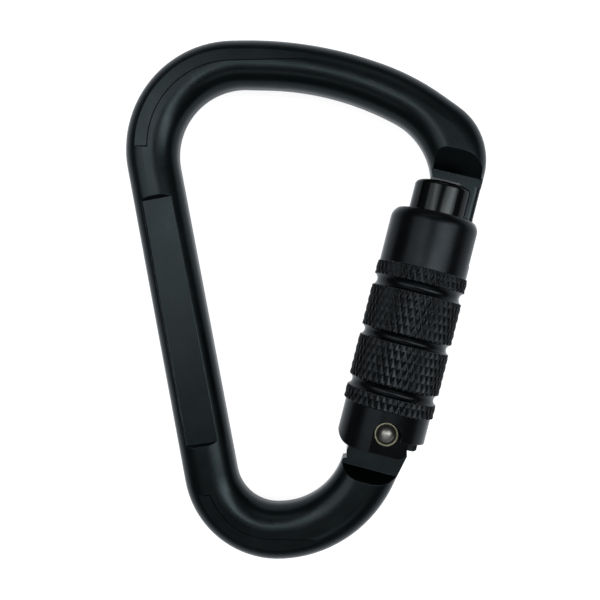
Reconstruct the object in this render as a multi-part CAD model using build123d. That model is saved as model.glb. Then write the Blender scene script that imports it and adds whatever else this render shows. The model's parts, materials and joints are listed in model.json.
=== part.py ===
from build123d import *
import math
import os

os.makedirs("parts", exist_ok=True)

# Pear-shaped locking carabiner, lying flat. +Z is normal to its plane, +Y runs along its length
# towards the wide end, and the gate is on the +X side. Millimetres. The origin is the middle of
# the whole object's bounding box.

# ---- frame ------------------------------------------------------------------------------------
ROD_THICK = 11.2          # front to back
ROD_ROUND = 4.9           # rounding of the rod's edges
PANEL_DEPTH = 0.85        # how far the spine panel is cut below the rod's crest
RECESS_DEPTH = 0.35       # the same for the two recesses along the outer bends
WALL_SLOPE = 40           # slope of the panel's and the recesses' walls, in degrees
LEAN = math.radians(14.07)  # the gate's lean from +Y
GATE_FOOT = (17.10, -29.08)  # where the gate tube's axis starts, before centring
SHIFT = (0.162, 0.03)     # moves the bounding box onto the origin

# corners of the outer outline, each with its rounding radius
OUTER = [
    (-44.8, 57.3, 23.8),
    (1.8, 57.2, 87.4),
    (24.3, 48.7, 55.4),
    (41.5, 35.9, 14.3),
]
OUTER_FOOT = [
    (12.4, -55.8, 28.8),
    (-23.0, -58.8, 20.6),
]
WIDE_CENTRE = (-15.9, 33.5)  # centre of the recess round the wide end's outer bend
RECESS_TOP_R = 18.3       # its inner edge
RECESS_TOP_RUN = 16.9     # how far it runs on along the top
NARROW_CENTRE = (-7.0, -37.9)  # the same at the narrow end
RECESS_LOW_R = 14.0
RECESS_LOW_RUN = 12.2
RECESS_LOW_DROP = 4.8     # how far below the centre it starts
RECESS_REACH = 30.0       # beyond the rod
# corners of the flat panel along the spine
SPINE_PANEL = [(-35.2, 21.4), (-28.3, 22.6), (-18.4, -30.8), (-25.3, -31.9)]
# corners of the inner outline
INNER = [
    (6.6, 46.1, 63.0),
    (-31.45, 47.75, 14.6),
    (-13.6, -45.2, 8.9),
    (4.2, -45.2, 15.2),
]
INNER_NOSE = (29.9, 33.3, 15.4)
# the rod's outline where the gate begins and ends, in the gate's frame
NOSE_OUT = (7.8, 49.8)
NOSE_IN = (-2.3, 50.0)
HINGE_IN = (-5.6, 2.0)
HINGE_OUT = (7.5, 1.7)

NOSE_STEP = 58.3          # height of the nose shoulder above the gate's foot, along the gate
NOSE_TOP = 62.9           # height at which the nose shoulder meets the crest
NOSE_TANG_HALF = 2.0      # half thickness of the nose tang
NOSE_FOOT_HALF = 2.4      # half thickness of the key foot at its end
NOSE_FOOT_LENGTH = 3.4
NOSE_TANG_END = 46.0
NOSE_TANG_INNER = 3.4
NOSE_TANG_OUTER = 7.8
NOSE_TANG_ROUND = 1.4
# outline of the sloped facets above the nose tang, in the gate's frame
NOSE_FACET = [(-3.3, 40.0), (-3.3, 58.0), (-4.3, 66.0), (5.6, 66.0), (6.6, 61.5), (7.0, 58.0), (7.0, 40.0)]
NOSE_SEAT_GAP = 0.9       # between the nose's full width and the top of the gate
HINGE_STEP = -8.4
HINGE_TOP = -10.8
HINGE_TANG_HALF = 2.4
# outline of the plate between the rod and the eye, in the gate's frame
# its inner side has a shallow notch that the sleeve's foot swings into when the gate is open
HINGE_TANG = [
    (-4.4, 2.0),
    (-6.2, -3.2),
    (-6.55, -5.8),
    (-6.15, -7.1),
    (-6.95, -7.5),
    (-7.05, -8.6),
    (5.3, -8.6),
    (6.4, -3.6),
    (5.0, 1.4),
]
CLEAR = 20                # beyond the rod, for cutting bodies

# ---- hinge ------------------------------------------------------------------------------------
RIVET = (0.6, 0.5)        # rivet centre in the gate's frame
RIVET_R = 1.6
BUSH_R = 2.3
CAM_R = 4.0               # eccentric that lifts the plunger
CAM_OFFSET = 2.2
CAM_ANGLE = math.radians(60)
TANG_EYE_R = 4.6
HEAD_R = 1.7
HEAD_DOME = 1.1           # height of the whole head
HEAD_CAP = 0.65           # height of its spherical cap
COLLAR_R = 2.57
COLLAR_ROUND = 0.12
COLLAR_WELL_R = 2.2       # the shallow well round the head
COLLAR_WELL = 0.35
COLLAR_THICK = 1.1

# ---- gate -------------------------------------------------------------------------------------
GATE_R = 6.2
GATE_TOP = 55.6
GATE_TOP_ROUND = 1.0
EAR_END = -4.3
EAR_ROUND = 1.8
EAR_HALF_WIDTH = 5.8
EAR_FLAT = 4.9            # distance of the milled ear faces from the middle plane
EAR_FLAT_TOP = 6.0
EAR_SLOT_HALF = 2.65
EAR_SLOT_TOP = 9.0
BORE_R = 3.4
BORE_FOOT = 5.4
BORE_TOP = 36.0
SLOT_GAP = 0.3            # play of the nose tang in its slot

# ---- plunger and springs ----------------------------------------------------------------------
PLUNGER_FOOT = 5.67
PLUNGER_TOP = 11.5
PLUNGER_R = 3.33
PLUNGER_HOLLOW = 2.0
PLUNGER_RIM = 1.2
PLUNGER_PEG_R = 1.2
GATE_SPRING_R = 2.75
GATE_SPRING_WIRE = 0.35
GATE_SPRING_TURNS = 11
SLEEVE_SPRING_R = 7.25
SLEEVE_SPRING_WIRE = 0.5
SLEEVE_SPRING_TURNS = 5

# ---- sleeve -----------------------------------------------------------------------------------
BORE_SLEEVE_R = 8.3
SLEEVE_R = 9.6
FOOT_R = 9.45             # the barrel below the bands
FOOT_BORE_R = 8.9         # the bore of the foot, which clears the frame when the gate opens
FOOT_BORE_TOP = 2.5
BAND_R = 9.7
GROOVE_R = 9.12
SLEEVE_FOOT = -3.7
SLEEVE_TOP = 48.6
RIM_ROUND = 2.9           # rounding of the top rim, and how far down and in it reaches
RIM_HEIGHT = 2.2
RIM_LAND = 0.3
CUTOUT_B = -0.1           # height of the rim's raised quarters
CUTOUT_REAR = -3.6        # how far back the front raised quarter runs
LOBE_ROUND = 3.0
NOTCH_R = 3.0             # U notch round each rivet head
# bands of the barrel, from the foot up: start and end height
THIN_LOW = (5.5, 8.6)
WIDE_LOW = (10.7, 19.9)
WIDE_HIGH = (21.9, 31.1)
THIN_HIGH = (33.4, 36.5)
WINDOW_FLOOR = 39.5
WINDOW_HALF = 2.55        # the release window clears the tang's foot to either side by this
TWIST = 80                # how far the sleeve turns, in degrees
LIFT = 4.0

# ---- parts inside the sleeve ------------------------------------------------------------------
BUSH_FOOT = 12.0
BUSH_TOP = 24.0
BUSH_BORE_R = 6.26
WASHER_TOP = 25.2
WASHER_R = 8.1
KEY_HALF = 0.9
KEY_DEPTH = 0.7
SEAT_FOOT = 37.0
SEAT_TOP = 38.3
CLIP_TOP = 39.1
CLIP_GROOVE_R = 5.6
BALL_R = 1.2
BALL_HEIGHT = 21.0
BALL_CENTRE_R = 6.45
TRACK_R = 7.75

UP = (math.sin(LEAN), math.cos(LEAN))
OUT = (math.cos(LEAN), -math.sin(LEAN))
# the gate's own frame: X outwards from the opening, Y up the gate, Z to the front
GATE = Plane(
    origin=(GATE_FOOT[0] + SHIFT[0], GATE_FOOT[1] + SHIFT[1], 0),
    x_dir=(OUT[0], OUT[1], 0),
    z_dir=(0, 0, 1),
)
# a frame whose Z runs up the gate, for turned pieces
AXIS = Plane(origin=GATE.origin, x_dir=(OUT[0], OUT[1], 0), z_dir=(UP[0], UP[1], 0))


def on_gate(across, up):
    """A point of the gate's frame as x, y of the object."""
    return (
        GATE.origin.X + across * OUT[0] + up * UP[0],
        GATE.origin.Y + across * OUT[1] + up * UP[1],
    )


def rounded_outline(corners):
    """A face from corners with a rounding radius each."""
    face = make_face(Polyline(*[(x, y) for x, y, r in corners], close=True))
    for x, y, r in corners:
        if r:
            vertex = min(face.vertices(), key=lambda v: math.hypot(v.X - x, v.Y - y))
            face = fillet(vertex, r)
    return face


def prism(points, low, high, plane=GATE):
    """A straight prism from points of a plane, between two heights of that plane's Z."""
    face = make_face(Polyline(*points, close=True))
    return plane * (Pos(0, 0, low) * extrude(face, high - low))


def slab(across, up, depth, plane=GATE):
    """A box from its ranges across, up and through."""
    return prism(
        [(across[0], up[0]), (across[1], up[0]), (across[1], up[1]), (across[0], up[1])],
        depth[0],
        depth[1],
        plane,
    )


def rod(low, high, radius, plane=AXIS):
    """A cylinder along the gate axis between two heights."""
    return plane * (Pos(0, 0, low) * Cylinder(radius, high - low, align=(Align.CENTER, Align.CENTER, Align.MIN)))


def pin(low, high, radius, at=RIVET):
    """A cylinder along Z at a point of the gate's frame, by default on the rivet's axis."""
    return GATE * (
        Pos(at[0], at[1], low) * Cylinder(radius, high - low, align=(Align.CENTER, Align.CENTER, Align.MIN))
    )


def shifted(corners):
    return [(x + SHIFT[0], y + SHIFT[1], r) for x, y, r in corners]


def relief(front):
    """The three shallow panels of one face of the rod, as a cutting body."""
    crest = ROD_THICK / 2
    # round the wide end's outer bend, and a little way along the top
    bend = Pos(*WIDE_CENTRE)
    top = bend * (Circle(RECESS_REACH) - Circle(RECESS_TOP_R))
    top &= Pos(WIDE_CENTRE[0] - RECESS_REACH / 2, WIDE_CENTRE[1] + RECESS_REACH / 2) * Rectangle(
        RECESS_REACH, RECESS_REACH
    )
    top += Pos(WIDE_CENTRE[0] + RECESS_TOP_RUN / 2, WIDE_CENTRE[1] + RECESS_TOP_R + 5) * Rectangle(
        RECESS_TOP_RUN, 10
    )
    # the same round the narrow end
    bend = Pos(*NARROW_CENTRE)
    low = bend * (Circle(RECESS_REACH) - Circle(RECESS_LOW_R))
    low &= Pos(NARROW_CENTRE[0] - RECESS_REACH / 2, NARROW_CENTRE[1] - RECESS_LOW_DROP - RECESS_REACH / 2) * Rectangle(
        RECESS_REACH, RECESS_REACH
    )
    low += Pos(NARROW_CENTRE[0] + RECESS_LOW_RUN / 2, NARROW_CENTRE[1] - RECESS_LOW_R - 5) * Rectangle(
        RECESS_LOW_RUN, 10
    )
    # the walls slope outwards, so each tool widens as it rises
    rise = 1.0
    solid = Pos(0, 0, crest - RECESS_DEPTH) * (extrude(top, rise, taper=-WALL_SLOPE) + extrude(low, rise, taper=-WALL_SLOPE))
    panel = make_face(Polyline(*SPINE_PANEL, close=True))
    solid += Pos(0, 0, crest - PANEL_DEPTH) * extrude(panel, rise, taper=-WALL_SLOPE)
    solid = Pos(SHIFT[0], SHIFT[1], 0) * solid
    if not front:
        solid = mirror(solid, Plane.XY)
    return solid


def frame_blank():
    """The rod bent to its pear shape, with round edges, running on past both shoulders."""
    nose_out = on_gate(*NOSE_OUT)
    nose_in = on_gate(*NOSE_IN)
    hinge_in = on_gate(*HINGE_IN)
    hinge_out = on_gate(*HINGE_OUT)
    corners = shifted(OUTER)
    corners += [(*nose_out, 0), (*nose_in, 0)]
    corners += shifted([INNER_NOSE]) + shifted(INNER)
    corners += [(*hinge_in, 0), (*hinge_out, 0)]
    corners += shifted(OUTER_FOOT)
    face = rounded_outline(corners)
    body = Pos(0, 0, -ROD_THICK / 2) * extrude(face, ROD_THICK)
    keep_off = [nose_out, nose_in, hinge_in, hinge_out]
    edges = []
    for edge in body.edges():
        ends = [edge.position_at(t) for t in (0, 0.5, 1)]
        flat = all(abs(abs(p.Z) - ROD_THICK / 2) < 0.001 for p in ends)
        mid = ends[1]
        cut_end = any(
            math.hypot(mid.X - (a[0] + b[0]) / 2, mid.Y - (a[1] + b[1]) / 2) < 0.5
            for a, b in ((keep_off[0], keep_off[1]), (keep_off[2], keep_off[3]))
        )
        if flat and not cut_end:
            edges.append(edge)
    return fillet(edges, ROD_ROUND)


def side_wedge(points, half_width):
    """A prism across the gate, from points given as (height up the gate, distance from the middle)."""
    plane = Plane(origin=GATE.origin, x_dir=(UP[0], UP[1], 0), z_dir=(OUT[0], OUT[1], 0))
    face = make_face(Polyline(*points, close=True))
    return plane * (Pos(0, 0, -half_width) * extrude(face, 2 * half_width))


def shoulder_cuts(step, top, tang_half, end):
    """The two cuts, front and rear, that thin the rod to a tang behind a sloped shoulder."""
    crest = ROD_THICK / 2
    slope = (crest - tang_half) / (top - step)
    run_on = 2 if top > step else -2
    beyond = [(top + run_on, crest + slope * run_on), (top + run_on, CLEAR), (end, CLEAR), (end, tang_half)]
    profile = [(step, tang_half)] + beyond
    return [side_wedge(profile, CLEAR), side_wedge([(b, -z) for b, z in profile], CLEAR)]


def nose_tang():
    """The plate of the nose with its thicker key foot, rounded on its outer edges."""
    width = NOSE_TANG_OUTER - NOSE_TANG_INNER
    middle = (NOSE_TANG_OUTER + NOSE_TANG_INNER) / 2
    top = NOSE_STEP + 0.5
    pieces = []
    for half, end in ((NOSE_TANG_HALF, top), (NOSE_FOOT_HALF, NOSE_TANG_END + NOSE_FOOT_LENGTH)):
        length = end - NOSE_TANG_END
        block = Pos(middle, NOSE_TANG_END + length / 2, 0) * Box(width, length, 2 * half)
        outer = block.edges().filter_by(Axis.Y).group_by(Axis.X)[-1]
        pieces.append(fillet(outer, NOSE_TANG_ROUND))
    return GATE * (pieces[0] + pieces[1])


def hinge_tang():
    """The plate that ends in the hinge eye, with the cam that lifts the plunger."""
    cam_at = (RIVET[0] - CAM_OFFSET * math.sin(CAM_ANGLE), RIVET[1] + CAM_OFFSET * math.cos(CAM_ANGLE))
    eye = pin(-HINGE_TANG_HALF, HINGE_TANG_HALF, TANG_EYE_R)
    eye += pin(-HINGE_TANG_HALF, HINGE_TANG_HALF, CAM_R, cam_at)
    return eye + prism(HINGE_TANG, -HINGE_TANG_HALF, HINGE_TANG_HALF)


def make_frame():
    body = frame_blank()
    facet = prism(NOSE_FACET, -CLEAR, CLEAR)
    for cut in shoulder_cuts(NOSE_STEP, NOSE_TOP, NOSE_TANG_HALF, NOSE_FACET[0][1]):
        body -= cut & facet
    for cut in shoulder_cuts(HINGE_STEP, HINGE_TOP, HINGE_TANG_HALF, 14):
        body -= cut
    # below the nose's full width only its tang is left
    body -= slab((-CLEAR, CLEAR), (40, GATE_TOP + NOSE_SEAT_GAP), (-8, 8))
    for low, high in ((NOSE_TANG_HALF, 8), (-8, -NOSE_TANG_HALF)):
        body -= slab((-CLEAR, CLEAR), (40, NOSE_STEP), (low, high))
    body += nose_tang()
    # the same above the hinge's shoulder
    body -= slab((-CLEAR, CLEAR), (HINGE_STEP, 16), (-8, 8))
    body += hinge_tang()
    body -= pin(-8, 8, BUSH_R)
    body -= relief(True)
    body -= relief(False)
    return body


def make_gate_body():
    body = rod(EAR_FLAT_TOP - 1, GATE_TOP, GATE_R)
    top_edge = body.edges().filter_by(GeomType.CIRCLE).sort_by(
        lambda e: (e.arc_center.X - GATE.origin.X) * UP[0] + (e.arc_center.Y - GATE.origin.Y) * UP[1]
    )[-1]
    body = fillet(top_edge, GATE_TOP_ROUND)
    # the ears are a block with milled faces, narrower than the tube and with a rounded foot
    length = EAR_FLAT_TOP - EAR_END
    block = Pos(0, (EAR_FLAT_TOP + EAR_END) / 2, -EAR_FLAT) * extrude(
        Rectangle(2 * EAR_HALF_WIDTH, length), 2 * EAR_FLAT
    )
    feet = block.edges().filter_by(Axis.Z).sort_by(Axis.Y)[:2]
    block = fillet(feet, EAR_ROUND)
    body += GATE * block
    body -= slab((-12, 12), (EAR_END - 3, EAR_SLOT_TOP), (-EAR_SLOT_HALF, EAR_SLOT_HALF))
    body -= rod(BORE_FOOT, BORE_TOP, BORE_R)
    body -= pin(-10, 10, RIVET_R + 0.02)
    # key slot for the nose, open at the top and on the outer side
    neck = NOSE_TANG_HALF + SLOT_GAP
    foot = NOSE_FOOT_HALF + SLOT_GAP
    body -= slab((NOSE_TANG_INNER - 0.15, 12), (NOSE_TANG_END, 70), (-neck, neck))
    body -= slab(
        (NOSE_TANG_INNER - 0.15, 12),
        (NOSE_TANG_END - 0.8, NOSE_TANG_END + NOSE_FOOT_LENGTH + 0.4),
        (-foot, foot),
    )
    # key way of the thrust washer, groove of the clip, seats of the guide balls
    body -= AXIS * (Pos(-GATE_R, 0, 23.0 + 8.0) * Box(2 * KEY_DEPTH + 0.1, 2 * KEY_HALF + 0.1, 18.0))
    body -= rod(SEAT_TOP, CLIP_TOP, GATE_R + 1) - rod(SEAT_TOP, CLIP_TOP, CLIP_GROOVE_R)
    for angle in (90, 270):
        body -= AXIS * (Rot(0, 0, angle) * Pos(BALL_CENTRE_R, 0, BALL_HEIGHT) * Sphere(BALL_R + 0.02))
    return body


def make_rivet():
    low = EAR_FLAT + COLLAR_THICK - COLLAR_WELL + 0.03
    body = pin(-low, low, RIVET_R)
    # the head is a spherical cap on a short cylinder
    ball_r = (HEAD_R**2 + HEAD_CAP**2) / (2 * HEAD_CAP)
    head = Cylinder(HEAD_R, HEAD_DOME, align=(Align.CENTER, Align.CENTER, Align.MIN))
    head &= Pos(0, 0, HEAD_DOME - ball_r) * Sphere(ball_r)
    body += GATE * (Pos(*RIVET, low) * head)
    body += GATE * (Pos(*RIVET, -low) * mirror(head, Plane.XY))
    return body


def make_rivet_collars():
    ring = Cylinder(COLLAR_R, COLLAR_THICK, align=(Align.CENTER, Align.CENTER, Align.MIN))
    ring = fillet(ring.edges().group_by(Axis.Z)[-1], COLLAR_ROUND)
    ring -= Pos(0, 0, COLLAR_THICK - COLLAR_WELL) * Cylinder(
        COLLAR_WELL_R, COLLAR_THICK, align=(Align.CENTER, Align.CENTER, Align.MIN)
    )
    ring -= Cylinder(RIVET_R + 0.02, 5)
    front = GATE * (Pos(*RIVET, EAR_FLAT + 0.01) * ring)
    return Compound(children=[front, mirror(front, Plane.XY)])


def make_hinge_bush():
    tube = pin(-HINGE_TANG_HALF, HINGE_TANG_HALF, BUSH_R - 0.01)
    return tube - pin(-5, 5, RIVET_R + 0.02)


def coil(low, high, radius, wire, turns):
    """A compression spring with its axis along the gate."""
    length = high - low - 2 * wire
    path = Helix(length / turns, length, radius)
    section = Plane(path @ 0, z_dir=path % 0) * Circle(wire)
    return AXIS * (Pos(0, 0, low + wire) * sweep(section, path, is_frenet=True))


def make_plunger():
    body = rod(PLUNGER_FOOT, PLUNGER_TOP, PLUNGER_R)
    # a ring-shaped hollow in its top leaves a rim, on which the spring stands, round a short peg
    hollow = rod(PLUNGER_TOP - PLUNGER_HOLLOW, PLUNGER_TOP + 1, PLUNGER_R - PLUNGER_RIM)
    peg = rod(PLUNGER_TOP - PLUNGER_HOLLOW, PLUNGER_TOP + 1, PLUNGER_PEG_R)
    return body - (hollow - peg)


def sleeve_profile():
    """Half section of the sleeve, from its radius and height, with hollows between the bands."""
    bands = (THIN_LOW, WIDE_LOW, WIDE_HIGH, THIN_HIGH)
    outline = Polyline(
        (FOOT_BORE_R, SLEEVE_FOOT), (FOOT_R, SLEEVE_FOOT), (FOOT_R, THIN_LOW[0]), (BAND_R, THIN_LOW[0])
    )
    for below, above in zip(bands, bands[1:]):
        outline += Line((BAND_R, below[0]), (BAND_R, below[1]))
        outline += ThreePointArc((BAND_R, below[1]), (GROOVE_R, (below[1] + above[0]) / 2), (BAND_R, above[0]))
    outline += Polyline(
        (BAND_R, THIN_HIGH[0]), (BAND_R, THIN_HIGH[1]), (SLEEVE_R, THIN_HIGH[1]), (SLEEVE_R, SLEEVE_TOP - RIM_HEIGHT)
    )
    outline += RadiusArc((SLEEVE_R, SLEEVE_TOP - RIM_HEIGHT), (BORE_SLEEVE_R + RIM_LAND, SLEEVE_TOP), -RIM_ROUND)
    outline += Polyline(
        (BORE_SLEEVE_R + RIM_LAND, SLEEVE_TOP),
        (BORE_SLEEVE_R, SLEEVE_TOP),
        (BORE_SLEEVE_R, FOOT_BORE_TOP),
        (FOOT_BORE_R, FOOT_BORE_TOP),
        (FOOT_BORE_R, SLEEVE_FOOT),
    )
    return make_face(outline)


def sector(radius, start_deg, sweep_deg):
    """A flat sector of a circle about the gate axis."""
    first = math.radians(start_deg)
    last = math.radians(start_deg + sweep_deg)
    return make_face(
        Line((0, 0), (radius * math.cos(first), radius * math.sin(first)))
        + CenterArc((0, 0), radius, start_deg, sweep_deg)
        + Line((radius * math.cos(last), radius * math.sin(last)), (0, 0))
    )


def make_sleeve():
    body = AXIS * revolve(Plane.XZ * sleeve_profile(), Axis.Z)
    # lower rim: two low lobes, two raised quarters and a U notch round each rivet head
    quarter = slab((0, 14), (-20, CUTOUT_B), (0, 14))
    lobe_corner = slab((-14, -SLEEVE_R + LOBE_ROUND), (-20, SLEEVE_FOOT + LOBE_ROUND), (0, 14))
    lobe_corner -= pin(-1, 15, LOBE_ROUND, (-SLEEVE_R + LOBE_ROUND, SLEEVE_FOOT + LOBE_ROUND))
    front = quarter + lobe_corner
    body -= front
    body -= front.rotate(Axis(GATE.origin, Vector(UP[0], UP[1], 0)), 180)
    body -= slab((0, 14), (-20, CUTOUT_B), (CUTOUT_REAR, 14))
    notch = slab((RIVET[0] - NOTCH_R, RIVET[0] + NOTCH_R), (-20, RIVET[1]), (0, 14)) + pin(0, 14, NOTCH_R)
    body -= notch
    body -= mirror(notch, Plane.XY)
    # release window of the upper rim: from just in front of the nose round the hidden back
    angle = math.degrees(math.asin(WINDOW_HALF / BORE_SLEEVE_R))
    window = extrude(sector(CLEAR, -angle, TWIST + 2 * angle), CLEAR)
    return body - AXIS * (Pos(0, 0, WINDOW_FLOOR) * window)


def make_guide_bush():
    body = rod(BUSH_FOOT, BUSH_TOP, BORE_SLEEVE_R - 0.01) - rod(BUSH_FOOT - 1, BUSH_TOP + 1, BUSH_BORE_R)
    # each ball's track gives the sleeve its lift and its twist
    low = BALL_HEIGHT - BALL_R - LIFT - 0.2
    high = BALL_HEIGHT + BALL_R + 0.1
    play = math.degrees((BALL_R + 0.15) / BALL_CENTRE_R)
    for angle in (90, 270):
        track = extrude(sector(TRACK_R, angle - play, TWIST + 2 * play), high - low)
        body -= AXIS * (Pos(0, 0, low) * track)
    return body


def make_guide_balls():
    ball = Sphere(BALL_R)
    front = AXIS * (Rot(0, 0, 90) * Pos(BALL_CENTRE_R, 0, BALL_HEIGHT) * ball)
    rear = AXIS * (Rot(0, 0, 270) * Pos(BALL_CENTRE_R, 0, BALL_HEIGHT) * ball)
    return Compound(children=[front, rear])


def make_thrust_washer():
    body = rod(BUSH_TOP + 0.05, WASHER_TOP, WASHER_R) - rod(BUSH_TOP - 1, WASHER_TOP + 1, BUSH_BORE_R)
    key = AXIS * (
        Pos(-GATE_R - 0.2, 0, (BUSH_TOP + 0.05 + WASHER_TOP) / 2)
        * Box(2 * KEY_DEPTH + 0.3, 2 * KEY_HALF, WASHER_TOP - BUSH_TOP - 0.05)
    )
    return body + key


def make_spring_seat():
    return rod(SEAT_FOOT, SEAT_TOP - 0.02, WASHER_R) - rod(SEAT_FOOT - 1, SEAT_TOP + 1, GATE_R + 0.03)


def make_retaining_clip():
    body = rod(SEAT_TOP + 0.02, CLIP_TOP - 0.02, 7.6) - rod(SEAT_TOP - 1, CLIP_TOP + 1, CLIP_GROOVE_R + 0.03)
    return body - slab((-9, 0), (SEAT_TOP - 1, CLIP_TOP + 1), (-2.2, 2.2))


made = {
    "frame": make_frame(),
    "hinge_bush": make_hinge_bush(),
    "gate_body": make_gate_body(),
    "hinge_rivet": make_rivet(),
    "rivet_collars": make_rivet_collars(),
    "gate_plunger": make_plunger(),
    "gate_spring": coil(PLUNGER_TOP + 0.05, BORE_TOP - 0.05, GATE_SPRING_R, GATE_SPRING_WIRE, GATE_SPRING_TURNS),
    "guide_balls": make_guide_balls(),
    "spring_seat": make_spring_seat(),
    "retaining_clip": make_retaining_clip(),
    "thrust_washer": make_thrust_washer(),
    "sleeve_spring": coil(
        WASHER_TOP + 0.05, SEAT_FOOT - 0.05, SLEEVE_SPRING_R, SLEEVE_SPRING_WIRE, SLEEVE_SPRING_TURNS
    ),
    "lock_sleeve": make_sleeve(),
    "guide_bush": make_guide_bush(),
}

for name, shape in made.items():
    export_step(shape, f"parts/{name}.step")

box = Compound(children=[copy_of for copy_of in made.values()]).bounding_box()
print("box", box.min, box.max)
print("hinge", GATE.origin, "up", UP)
for name, shape in made.items():
    print(name, round(shape.volume, 1), len(shape.solids()), shape.is_valid)
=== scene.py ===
import bpy
import bmesh
import json
import math
from mathutils import Matrix, Vector


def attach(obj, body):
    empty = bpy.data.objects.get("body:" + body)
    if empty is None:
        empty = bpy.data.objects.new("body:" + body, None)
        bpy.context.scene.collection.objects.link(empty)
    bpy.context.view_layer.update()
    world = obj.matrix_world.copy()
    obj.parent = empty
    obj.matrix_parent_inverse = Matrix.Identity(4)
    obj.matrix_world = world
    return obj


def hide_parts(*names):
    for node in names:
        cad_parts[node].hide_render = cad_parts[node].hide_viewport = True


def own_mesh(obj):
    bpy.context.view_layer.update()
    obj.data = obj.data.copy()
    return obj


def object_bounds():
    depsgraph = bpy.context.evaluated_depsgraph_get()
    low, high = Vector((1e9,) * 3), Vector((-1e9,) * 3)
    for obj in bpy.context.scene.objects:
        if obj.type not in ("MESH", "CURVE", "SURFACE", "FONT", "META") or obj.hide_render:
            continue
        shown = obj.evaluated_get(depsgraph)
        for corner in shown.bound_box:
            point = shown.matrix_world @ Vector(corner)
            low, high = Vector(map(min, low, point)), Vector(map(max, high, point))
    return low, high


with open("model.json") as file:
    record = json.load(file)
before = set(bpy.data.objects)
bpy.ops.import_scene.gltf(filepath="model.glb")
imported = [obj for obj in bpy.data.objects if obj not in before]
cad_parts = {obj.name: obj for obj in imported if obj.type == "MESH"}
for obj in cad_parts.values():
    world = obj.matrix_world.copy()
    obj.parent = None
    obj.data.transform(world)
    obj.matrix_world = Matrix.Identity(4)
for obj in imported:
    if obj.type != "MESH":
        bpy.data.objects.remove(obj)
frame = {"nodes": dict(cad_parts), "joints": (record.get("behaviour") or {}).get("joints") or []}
cad_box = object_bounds()
nodes = frame["nodes"]
joint = {j["name"]: j for j in frame["joints"]}

# The gate's own axes in the row frame: outwards from the opening, up the gate and to the front.
# Its origin is the foot of the gate tube's axis, which the sleeve twists about.
FOOT = Vector(joint["sleeve_twist"]["pos_m"])
UP = Vector(joint["sleeve_lift"]["axis"]).normalized()
FRONT = Vector((0, 0, 1))
OUT = UP.cross(FRONT)
GATE = Matrix((OUT, UP, FRONT)).transposed().to_4x4()
GATE.translation = FOOT


# ---- materials --------------------------------------------------------------------------------
# noise scales are per metre and distances are in metres
BEVEL_SAMPLES = 6
EDGE_EASE = 0.00015       # radius over which the anodised edges look rounded
EDGE_HIGHLIGHT_REACH = 0.00022       # how far from an edge the painted edge highlight reaches
HIGHLIGHT_START, HIGHLIGHT_FULL = 0.985, 0.90  # cosine between the eased and the true normal
HIGHLIGHT_PATCHES = 900
# pale grey painted on the sharp edges as a painted highlight
EDGE_HIGHLIGHT_COLOUR = (0.22, 0.23, 0.24)
ANODISED_TINT = (0.80, 0.82, 0.85, 1)
DYE_CLOUDS = 70
HANDLING_SMEARS = 160
SURFACE_WAVES, WAVE_STRENGTH, WAVE_HEIGHT = 240, 0.08, 0.00004
BLASTED_GRAIN, GRAIN_HEIGHT = 5200, 0.00002
METAL_CLOUDS = 300
METAL_SCRATCHES = 900
SCRATCH_STRETCH = (1, 0.12, 1)
TOOL_MARKS, TOOL_MARK_STRENGTH, TOOL_MARK_HEIGHT = 3600, 0.15, 0.00001
TOOL_MARK_STRETCH = (1, 0.1, 1)
# near-black colour painted into the collar's well: painted shade in the groove round the rivet head
WELL_PAINTED_SHADE = (0.012, 0.012, 0.010)
WELL_EDGE_BLUR = 0.0001


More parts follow.
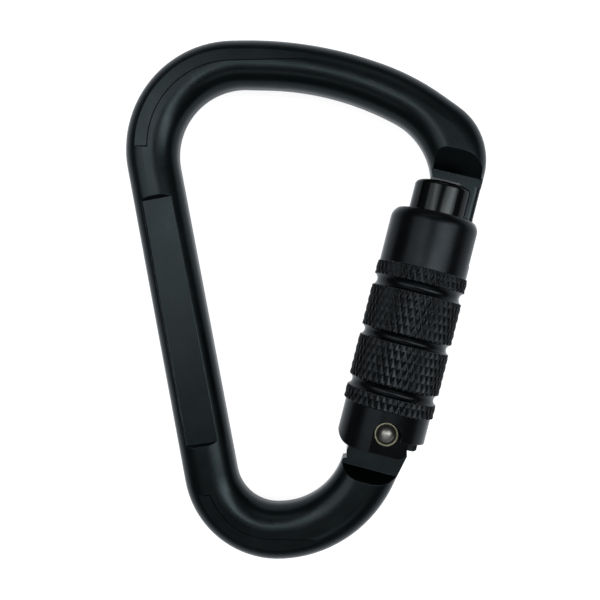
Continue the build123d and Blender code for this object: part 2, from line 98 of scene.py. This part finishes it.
class Tree:
    """A material's node tree with one Principled shader."""

    def __init__(self, name):
        self.material = bpy.data.materials.new(name)
        self.material.use_nodes = True
        self.nodes = self.material.node_tree.nodes
        self.links = self.material.node_tree.links
        self.shader = self.nodes["Principled BSDF"]

    def add(self, kind, **settings):
        node = self.nodes.new(kind)
        for key, value in settings.items():
            setattr(node, key, value)
        return node

    def join(self, source, target):
        self.links.new(source, target)

    def coords(self, scale=(1, 1, 1), turn=0.0):
        """Object coordinates, which are metres in the row frame, with the pattern turned about Z."""
        where = self.add("ShaderNodeTexCoord")
        mapping = self.add("ShaderNodeMapping")
        mapping.inputs["Scale"].default_value = scale
        mapping.inputs["Rotation"].default_value = (0, 0, turn)
        self.join(where.outputs["Object"], mapping.inputs["Vector"])
        return mapping.outputs["Vector"]

    def noise(self, scale, detail=3.0, rough=0.5, stretch=(1, 1, 1), turn=0.0):
        node = self.add("ShaderNodeTexNoise")
        node.inputs["Scale"].default_value = scale
        node.inputs["Detail"].default_value = detail
        node.inputs["Roughness"].default_value = rough
        self.join(self.coords(stretch, turn), node.inputs["Vector"])
        return node.outputs["Fac"]

    def spread(self, value, low, high, new_low, new_high):
        """A value taken from one range to another, held within it."""
        node = self.add("ShaderNodeMapRange")
        node.inputs["From Min"].default_value = low
        node.inputs["From Max"].default_value = high
        node.inputs["To Min"].default_value = new_low
        node.inputs["To Max"].default_value = new_high
        self.join(value, node.inputs["Value"])
        return node.outputs["Result"]

    def ramp(self, value, stops):
        node = self.add("ShaderNodeValToRGB")
        ramp = node.color_ramp
        while len(ramp.elements) < len(stops):
            ramp.elements.new(0.5)
        for element, (place, colour) in zip(ramp.elements, stops):
            element.position = place
            element.color = (*colour, 1)
        self.join(value, node.inputs["Fac"])
        return node.outputs["Color"]

    def mix(self, factor, first, second):
        node = self.add("ShaderNodeMix", data_type="RGBA")
        self.join(factor, node.inputs["Factor"])
        for source, socket in ((first, node.inputs["A"]), (second, node.inputs["B"])):
            if isinstance(source, tuple):
                socket.default_value = (*source, 1)
            else:
                self.join(source, socket)
        return node.outputs["Result"]

    def maths(self, operation, first, second):
        node = self.add("ShaderNodeMath", operation=operation)
        for source, socket in ((first, node.inputs[0]), (second, node.inputs[1])):
            if isinstance(source, (int, float)):
                socket.default_value = source
            else:
                self.join(source, socket)
        return node.outputs["Value"]

    def bump(self, heights, normal=None):
        """Bumps in series over a normal, from (height, strength, distance in metres)."""
        for height, strength, distance in heights:
            node = self.add("ShaderNodeBump")
            node.inputs["Strength"].default_value = strength
            node.inputs["Distance"].default_value = distance
            self.join(height, node.inputs["Height"])
            if normal is not None:
                self.join(normal, node.inputs["Normal"])
            normal = node.outputs["Normal"]
        self.join(normal, self.shader.inputs["Normal"])

    def rounded(self, radius):
        """The surface normal with sharp edges eased over a radius."""
        node = self.add("ShaderNodeBevel", samples=BEVEL_SAMPLES)
        node.inputs["Radius"].default_value = radius
        return node.outputs["Normal"]

    def painted_edge_highlight(self):
        """1 on sharp edges, broken up by noise, and 0 away from them: the mask of the painted edge
        highlight.
        """
        shape = self.add("ShaderNodeNewGeometry")
        same = self.add("ShaderNodeVectorMath", operation="DOT_PRODUCT")
        self.join(self.rounded(EDGE_HIGHLIGHT_REACH), same.inputs[0])
        self.join(shape.outputs["Normal"], same.inputs[1])
        edge = self.spread(same.outputs["Value"], HIGHLIGHT_START, HIGHLIGHT_FULL, 0, 1)
        broken = self.spread(self.noise(HIGHLIGHT_PATCHES, 4, 0.7), 0.4, 0.65, 0, 1)
        return self.maths("MULTIPLY", edge, broken)


def anodised(name, dark, light, rough, grain, edge_highlight, streak=(1, 1, 1), turn=0.0):
    """Black anodised aluminium: cloudy dye, fine blasted grain, faint handling marks and a pale painted
    highlight along the edges.
    """
    t = Tree(name)
    t.shader.inputs["Metallic"].default_value = 1.0
    t.shader.inputs["Specular Tint"].default_value = ANODISED_TINT
    cloud = t.noise(DYE_CLOUDS, 4, 0.6)
    colour = t.ramp(cloud, [(0.3, dark), (0.75, light)])
    # sharp edges are lightened towards pale grey: a painted highlight along the edges
    edge_lit = t.maths("MULTIPLY", t.painted_edge_highlight(), edge_highlight)
    colour = t.mix(edge_lit, colour, EDGE_HIGHLIGHT_COLOUR)
    t.join(colour, t.shader.inputs["Base Color"])
    smear = t.noise(HANDLING_SMEARS, 5, 0.65, streak, turn)
    t.join(t.spread(smear, 0.3, 0.7, *rough), t.shader.inputs["Roughness"])
    fine = t.noise(BLASTED_GRAIN, 3, 0.6)
    waves = t.noise(SURFACE_WAVES, 2, 0.5, streak, turn)
    bumps = [(waves, WAVE_STRENGTH, WAVE_HEIGHT), (fine, grain, GRAIN_HEIGHT)]
    t.bump(bumps, t.rounded(EDGE_EASE))
    return t.material


def metal(name, dark, light, rough, even=False):
    """Bare metal with fine marks, which are even all over or drawn out into scratches along the part."""
    t = Tree(name)
    t.shader.inputs["Metallic"].default_value = 1.0
    cloud = t.noise(METAL_CLOUDS, 4, 0.6)
    t.join(t.ramp(cloud, [(0.3, dark), (0.7, light)]), t.shader.inputs["Base Color"])
    scratches = t.noise(METAL_SCRATCHES, 5, 0.7, (1, 1, 1) if even else SCRATCH_STRETCH)
    t.join(t.spread(scratches, 0.25, 0.75, *rough), t.shader.inputs["Roughness"])
    marks = t.noise(TOOL_MARKS, 3, 0.6, (1, 1, 1) if even else TOOL_MARK_STRETCH)
    t.bump([(marks, TOOL_MARK_STRENGTH, TOOL_MARK_HEIGHT)])
    return t.material


def ringed(name, centre, edge, dark, light, rough):
    """Plated steel whose rim, further than edge from the axis at centre, keeps its plated colour round a
    well painted near-black as painted shade.
    """
    t = Tree(name)
    t.shader.inputs["Metallic"].default_value = 1.0
    where = t.add("ShaderNodeTexCoord")
    apart = t.add("ShaderNodeVectorMath", operation="DISTANCE")
    flat = t.add("ShaderNodeVectorMath", operation="MULTIPLY")
    flat.inputs[1].default_value = (1, 1, 0)
    apart.inputs[1].default_value = centre
    t.join(where.outputs["Object"], flat.inputs[0])
    t.join(flat.outputs["Vector"], apart.inputs[0])
    rim = t.spread(apart.outputs["Value"], edge, edge + WELL_EDGE_BLUR, 0, 1)
    plated = t.ramp(t.noise(METAL_CLOUDS, 4, 0.6), [(0.3, dark), (0.7, light)])
    # inside the rim the well takes a near-black colour: painted shade in the groove round the rivet head
    t.join(t.mix(rim, WELL_PAINTED_SHADE, plated), t.shader.inputs["Base Color"])
    scratches = t.noise(METAL_SCRATCHES, 5, 0.7)
    t.join(t.spread(scratches, 0.25, 0.75, *rough), t.shader.inputs["Roughness"])
    t.bump([(t.noise(TOOL_MARKS, 3, 0.6), TOOL_MARK_STRENGTH, TOOL_MARK_HEIGHT)])
    return t.material


def plastic(name, dark, light):
    """Moulded black plastic with a fine eggshell surface."""
    t = Tree(name)
    t.join(t.ramp(t.noise(400, 3, 0.5), [(0.3, dark), (0.7, light)]), t.shader.inputs["Base Color"])
    t.join(t.spread(t.noise(700, 3, 0.5), 0.3, 0.7, 0.38, 0.52), t.shader.inputs["Roughness"])
    t.bump([(t.noise(4200, 2, 0.5), 0.2, 0.00002)])
    return t.material


LEAN = math.atan2(UP.x, UP.y)
RIVET = joint["gate_hinge"]["pos_m"]
WELL_RIM_R = 0.00215      # radius where the collar's plated rim begins; inside it the well is painted dark as painted shade
frame_black = anodised(
    "frame_black",
    (0.0123, 0.0162, 0.0175),
    (0.0156, 0.0200, 0.0213),
    (0.26, 0.34),
    grain=0.25,
    edge_highlight=0.10,
)
gate_black = anodised(
    "gate_black",
    (0.0125, 0.0140, 0.0145),
    (0.0160, 0.0178, 0.0183),
    (0.13, 0.19),
    grain=0.12,
    edge_highlight=0.12,
    streak=(1, 0.2, 1),
    turn=LEAN,
)
sleeve_black = anodised(
    "sleeve_black",
    (0.0084, 0.0098, 0.0110),
    (0.0109, 0.0125, 0.0138),
    (0.24, 0.33),
    grain=0.2,
    edge_highlight=0.2,
    turn=LEAN,
)
rivet_steel = metal("rivet_steel", (0.20, 0.20, 0.19), (0.28, 0.28, 0.26), (0.36, 0.46))
collar_steel = ringed(
    "collar_steel",
    (RIVET[0], RIVET[1], 0),
    WELL_RIM_R,
    (0.16, 0.16, 0.11),
    (0.23, 0.22, 0.16),
    (0.28, 0.38),
)
ball_steel = metal("ball_steel", (0.55, 0.55, 0.54), (0.70, 0.70, 0.69), (0.10, 0.18))
spring_steel = metal("spring_steel", (0.42, 0.42, 0.42), (0.60, 0.60, 0.59), (0.22, 0.38))
turned_steel = metal("turned_steel", (0.36, 0.37, 0.38), (0.55, 0.55, 0.56), (0.25, 0.42), even=True)
bronze = metal("bronze", (0.50, 0.33, 0.14), (0.66, 0.46, 0.22), (0.3, 0.45), even=True)
plunger_black = plastic("plunger_black", (0.02, 0.02, 0.02), (0.04, 0.04, 0.04))

FINISH = {
    "frame": frame_black,
    "hinge_bush": bronze,
    "gate_body": gate_black,
    "hinge_rivet": rivet_steel,
    "rivet_collars": collar_steel,
    "gate_plunger": plunger_black,
    "gate_spring": spring_steel,
    "guide_balls": ball_steel,
    "spring_seat": turned_steel,
    "retaining_clip": turned_steel,
    "thrust_washer": turned_steel,
    "sleeve_spring": spring_steel,
    "lock_sleeve": sleeve_black,
    "guide_bush": turned_steel,
}
for name, material in FINISH.items():
    piece = nodes[name]
    piece.data.materials.clear()
    piece.data.materials.append(material)


# ---- knurled bands of the sleeve --------------------------------------------------------------
BAND_R = 0.0097           # the sleeve's own bands, which the knurl stands on
BAND_INSIDE = 0.0003      # how far each ring reaches into the sleeve's own band
KNURL_BASE = 0.00002      # height of the grooves' floor over the sleeve's own band
KNURL_DEPTH = 0.00027
KNURL_CHAMFER = 0.00014
DIAMOND_SLOPE = 0.85      # share of a diamond that slopes, the rest being its flat top
STARTS = 44               # helical grooves each way round
STEPS = 12                # mesh columns per groove
ROW = 0.00011             # height of a mesh row
LEAST_ROWS = 8
HELIX = math.radians(20.5)  # how far the grooves lean from the axis
BANDS = {
    "knurl_thin_low": (0.0055, 0.0086),
    "knurl_wide_low": (0.0107, 0.0199),
    "knurl_wide_high": (0.0219, 0.0311),
    "knurl_thin_high": (0.0334, 0.0365),
}


def ridge(turns):
    """0 in a groove and 1 midway between two."""
    part = turns % 1.0
    return 1 - abs(2 * part - 1)


def knurl_height(angle, up):
    """Height of the diamond pattern at an angle round the sleeve and a height up it."""
    round_turns = STARTS * angle / (2 * math.pi)
    lift_turns = up * math.tan(HELIX) * STARTS / (2 * math.pi * BAND_R)
    diamond = min(ridge(round_turns + lift_turns), ridge(round_turns - lift_turns))
    return min(diamond / DIAMOND_SLOPE, 1.0)


def knurl_band(name, low, high):
    """A closed ring with a raised diamond pattern and chamfered ends."""
    columns = STARTS * STEPS
    rows = max(int((high - low) / ROW), LEAST_ROWS)
    bm = bmesh.new()
    rings = []
    inner = BAND_R - BAND_INSIDE
    profile = [(low, inner)]
    for row in range(rows + 1):
        profile.append((low + (high - low) * row / rows, None))
    profile.append((high, inner))
    for up, radius in profile:
        ring = []
        for column in range(columns):
            angle = 2 * math.pi * column / columns
            r = radius
            if r is None:
                fade = min((up - low) / KNURL_CHAMFER, (high - up) / KNURL_CHAMFER, 1.0)
                r = BAND_R + KNURL_BASE + KNURL_DEPTH * fade * knurl_height(angle, up)
            ring.append(bm.verts.new((r * math.cos(angle), up, -r * math.sin(angle))))
        rings.append(ring)
    count = len(rings)
    for first in range(count):
        second = (first + 1) % count
        for column in range(columns):
            after = (column + 1) % columns
            bm.faces.new(
                (rings[first][column], rings[first][after], rings[second][after], rings[second][column])
            )
    bmesh.ops.recalc_face_normals(bm, faces=bm.faces)
    mesh = bpy.data.meshes.new(name)
    bm.to_mesh(mesh)
    bm.free()
    obj = bpy.data.objects.new(name, mesh)
    bpy.context.scene.collection.objects.link(obj)
    obj.matrix_world = GATE
    obj.data.materials.append(sleeve_black)
    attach(obj, "sleeve")


for band, (low, high) in BANDS.items():
    knurl_band(band, low, high)


# ---- springs ----------------------------------------------------------------------------------
POINTS_PER_TURN = 28
WIRE_SIDES = 12
CLOSED_PITCH = 2.04       # rise of a closed end turn, in wire radii
# node: (foot, top, coil radius, wire radius, turns, joint that presses it, how far the foot comes up)
SPRINGS = {
    "gate_spring": (0.01155, 0.03595, 0.00275, 0.00035, 13, "plunger_slide", 0.000634),
    "sleeve_spring": (0.02525, 0.03695, 0.00725, 0.0005, 5, "sleeve_lift", 0.004),
}


def coil_height(turn, turns, length, wire):
    """Height of the wire's middle after so many turns: the first and last turn lie closed."""
    closed = CLOSED_PITCH * wire
    open_turns = turns - 2
    pitch = (length - 2 * wire - 2 * closed) / open_turns
    foot = closed * min(turn, 1)
    middle_part = pitch * min(max(turn - 1, 0), open_turns)
    top = closed * max(turn - 1 - open_turns, 0)
    return wire + foot + middle_part + top


def coil_spring(node, foot, top, radius, wire, turns, presser, travel):
    """A compression spring with closed ends, coiled at rest from its foot to its top."""
    bm = bmesh.new()
    rings = []
    for step in range(turns * POINTS_PER_TURN + 1):
        turn = step / POINTS_PER_TURN
        angle = 2 * math.pi * turn
        up = foot + coil_height(turn, turns, top - foot, wire)
        ring = []
        for side in range(WIRE_SIDES):
            around = 2 * math.pi * side / WIRE_SIDES
            r = radius + wire * math.cos(around)
            height = up + wire * math.sin(around)
            ring.append(bm.verts.new((r * math.cos(angle), height, -r * math.sin(angle))))
        rings.append(ring)
    for first, second in zip(rings, rings[1:]):
        for side in range(WIRE_SIDES):
            after = (side + 1) % WIRE_SIDES
            bm.faces.new((first[side], first[after], second[after], second[side]))
    bm.faces.new(rings[0])
    bm.faces.new(rings[-1])
    bmesh.ops.recalc_face_normals(bm, faces=bm.faces)
    mesh = bpy.data.meshes.new(node + "_coil")
    bm.to_mesh(mesh)
    bm.free()
    for face in mesh.polygons:
        face.use_smooth = True
    obj = bpy.data.objects.new(node + "_coil", mesh)
    bpy.context.scene.collection.objects.link(obj)
    obj.matrix_world = GATE
    obj.data.materials.append(spring_steel)
    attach(obj, "gate")
    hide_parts(node)
    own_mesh(obj)


for node, values in SPRINGS.items():
    coil_spring(node, *values)


# ---- studio -----------------------------------------------------------------------------------
low_corner, high_corner = Vector(cad_box[0]), Vector(cad_box[1])
middle = (low_corner + high_corner) / 2


FLOOR_HALF = 1.6
FLOOR_GAP = 0.0002        # below the CAD box; the lowest teeth of the knurl press 0.1 mm into the floor
FLOOR_BASE = (0.3, 0.3, 0.3, 1)
FLOOR_GLOW = 0.90         # lifts the floor to white, as in a studio photograph
# softboxes: (name, place from the middle of the carabiner, size, power in watts)
# each side's box is brighter along its inner edge, which a strip beside it gives
SOFTBOXES = [
    ("left_box", (-0.27, 0.08, 0.42), (0.30, 0.42), 0.80),
    ("left_strip", (-0.081, 0.07, 0.42), (0.040, 0.42), 0.22),
    ("right_strip", (0.170, 0.01, 0.42), (0.055, 0.46), 0.42),
    ("right_box", (0.285, 0.01, 0.42), (0.17, 0.46), 1.00),
    ("top_box", (-0.02, 0.42, 0.34), (0.5, 0.2), 0.2),
    ("foot_box", (-0.02, -0.33, 0.38), (0.4, 0.10), 0.15),
]
SKY_COLOUR = (0.92, 0.96, 1.0, 1)
SKY_STRENGTH = 0.18


def floor():
    bm = bmesh.new()
    bmesh.ops.create_grid(bm, x_segments=1, y_segments=1, size=FLOOR_HALF)
    mesh = bpy.data.meshes.new("floor")
    bm.to_mesh(mesh)
    bm.free()
    obj = bpy.data.objects.new("floor", mesh)
    obj.location = (middle.x, middle.y, low_corner.z - FLOOR_GAP)
    bpy.context.scene.collection.objects.link(obj)
    t = Tree("pale_floor")
    t.shader.inputs["Base Color"].default_value = FLOOR_BASE
    t.shader.inputs["Roughness"].default_value = 0.7
    t.shader.inputs["Emission Color"].default_value = (1, 1, 1, 1)
    t.shader.inputs["Emission Strength"].default_value = FLOOR_GLOW
    mesh.materials.append(t.material)


def softbox(name, place, size, power):
    light = bpy.data.lights.new(name, "AREA")
    light.shape = "RECTANGLE"
    light.size, light.size_y = size
    light.energy = power
    obj = bpy.data.objects.new(name, light)
    obj.location = middle + Vector(place)
    way = middle - obj.location
    obj.rotation_euler = way.to_track_quat("-Z", "Y").to_euler()
    bpy.context.scene.collection.objects.link(obj)


floor()
for box in SOFTBOXES:
    softbox(*box)

world = bpy.data.worlds.new("studio")
world.use_nodes = True
world.node_tree.nodes["Background"].inputs["Color"].default_value = SKY_COLOUR
world.node_tree.nodes["Background"].inputs["Strength"].default_value = SKY_STRENGTH
bpy.context.scene.world = world
bpy.context.scene.view_settings.view_transform = "Standard"

# ---- camera -----------------------------------------------------------------------------------
SENSOR_WIDTH = 36         # millimetres
CAMERA_HEIGHT = 0.165
VIEW_WIDTH = 0.1332       # width of the view in the carabiner's middle plane
TILT = math.radians(4.0)  # the sleeve lifts the gate side off the table, so the view leans to it
AIM = Vector((-0.000808, -0.00019, 0.0))
camera_data = bpy.data.cameras.new("camera")
camera_data.sensor_width = SENSOR_WIDTH
camera_data.lens = SENSOR_WIDTH * CAMERA_HEIGHT / VIEW_WIDTH
camera_data.clip_start = 0.01
camera = bpy.data.objects.new("camera", camera_data)
away = Vector((math.sin(TILT), 0, math.cos(TILT)))
camera.location = AIM + away * CAMERA_HEIGHT
camera.rotation_euler = (0, TILT, 0)
bpy.context.scene.collection.objects.link(camera)
bpy.context.scene.camera = camera
